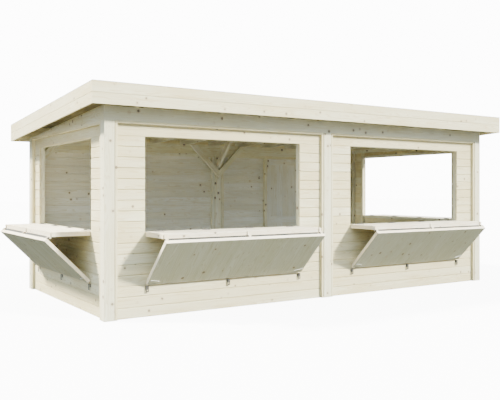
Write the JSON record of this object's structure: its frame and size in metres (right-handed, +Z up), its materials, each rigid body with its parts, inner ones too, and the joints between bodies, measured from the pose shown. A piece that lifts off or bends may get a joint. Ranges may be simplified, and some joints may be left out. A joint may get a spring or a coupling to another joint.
{
  "type": "market stall",
  "caption": "Timber market stall with a mono-pitch roof on square posts, boarded walls, folding counter hatches below its serving openings and a door at the back.",
  "frame": {"origin": "On the ground, in the middle of the rectangle that the stall covers with its hatches folded down.", "axes": "+Z is up, the front with its two bays of hatches looks along -Y, and +X runs to the right as seen from the front."},
  "size_m": [7.239, 3.7356, 2.5862],
  "materials": {
    "frame_wood": "planed and left raw",
    "board_wood": "planed and left raw",
    "trim_wood": "planed and left raw",
    "panel_wood": "planed and left raw",
    "deck_wood": "rough sawn",
    "felt": "fine mineral grit",
    "steel": "zinc plated, dulled"
  },
  "bodies": {
    "stall": {"front_left_post": "frame_wood", "front_centre_post": "frame_wood", "front_right_post": "frame_wood", "rear_left_post": "frame_wood", "rear_centre_post": "frame_wood", "rear_right_post": "frame_wood", "front_beam": "frame_wood", "rear_beam": "frame_wood", "gable_beams": "frame_wood", "knee_braces": "frame_wood", "front_left_boards": "board_wood", "front_right_boards": "board_wood", "left_boards": "board_wood", "right_boards": "board_wood", "rear_left_boards": "board_wood", "rear_right_boards": "board_wood", "front_studs": "board_wood", "left_studs": "board_wood", "right_studs": "board_wood", "rear_studs": "board_wood", "front_trims": "trim_wood", "left_trims": "trim_wood", "right_trims": "trim_wood", "rear_trims": "trim_wood", "door_frame": "trim_wood", "door_hinges": "steel", "counter_hinges": "steel", "hasps": "steel", "rafters": "frame_wood", "roof_boards": "deck_wood", "roofing_felt": "felt", "front_fascia": "trim_wood", "rear_fascia": "trim_wood", "left_fascia": "trim_wood", "right_fascia": "trim_wood"},
    "door": {"door_leaf": "panel_wood", "door_handle": "steel"},
    "front_left_counter": {"front_left_counter": "panel_wood"},
    "front_left_flap": {"front_left_flap": "panel_wood"},
    "front_right_counter": {"front_right_counter": "panel_wood"},
    "front_right_flap": {"front_right_flap": "panel_wood"},
    "left_counter": {"left_counter": "panel_wood"},
    "left_flap": {"left_flap": "panel_wood"},
    "right_counter": {"right_counter": "panel_wood"},
    "right_flap": {"right_flap": "panel_wood"}
  },
  "joints": [
    {"name": "door_hinge", "type": "hinge", "parent": "stall", "child": "door", "pos_m": [1.0045, 1.62326, 1], "axis": [0, 0, 1], "range_deg": [0, 110]},
    {"name": "front_left_counter_hinge", "type": "hinge", "parent": "stall", "child": "front_left_counter", "pos_m": [-1.5325, -1.33624, 0.968], "axis": [-1, 0, 0], "range_deg": [0, 90]},
    {"name": "front_left_flap_hinge", "type": "hinge", "parent": "front_left_counter", "child": "front_left_flap", "pos_m": [-1.5325, -1.81824, 0.9025], "axis": [-1, 0, 0], "range_deg": [0, 134.97]},
    {"name": "front_right_counter_hinge", "type": "hinge", "parent": "stall", "child": "front_right_counter", "pos_m": [1.5325, -1.33624, 0.968], "axis": [-1, 0, 0], "range_deg": [0, 90]},
    {"name": "front_right_flap_hinge", "type": "hinge", "parent": "front_right_counter", "child": "front_right_flap", "pos_m": [1.5325, -1.81824, 0.9025], "axis": [-1, 0, 0], "range_deg": [0, 134.97]},
    {"name": "left_counter_hinge", "type": "hinge", "parent": "stall", "child": "left_counter", "pos_m": [-3.088, 0.21676, 0.968], "axis": [0, 1, 0], "range_deg": [0, 90]},
    {"name": "left_flap_hinge", "type": "hinge", "parent": "left_counter", "child": "left_flap", "pos_m": [-3.57, 0.21676, 0.9025], "axis": [0, 1, 0], "range_deg": [0, 134.97]},
    {"name": "right_counter_hinge", "type": "hinge", "parent": "stall", "child": "right_counter", "pos_m": [3.088, 0.15676, 0.968], "axis": [0, -1, 0], "range_deg": [0, 90]},
    {"name": "right_flap_hinge", "type": "hinge", "parent": "right_counter", "child": "right_flap", "pos_m": [3.57, 0.15676, 0.9025], "axis": [0, -1, 0], "range_deg": [0, 134.97]}
  ]
}
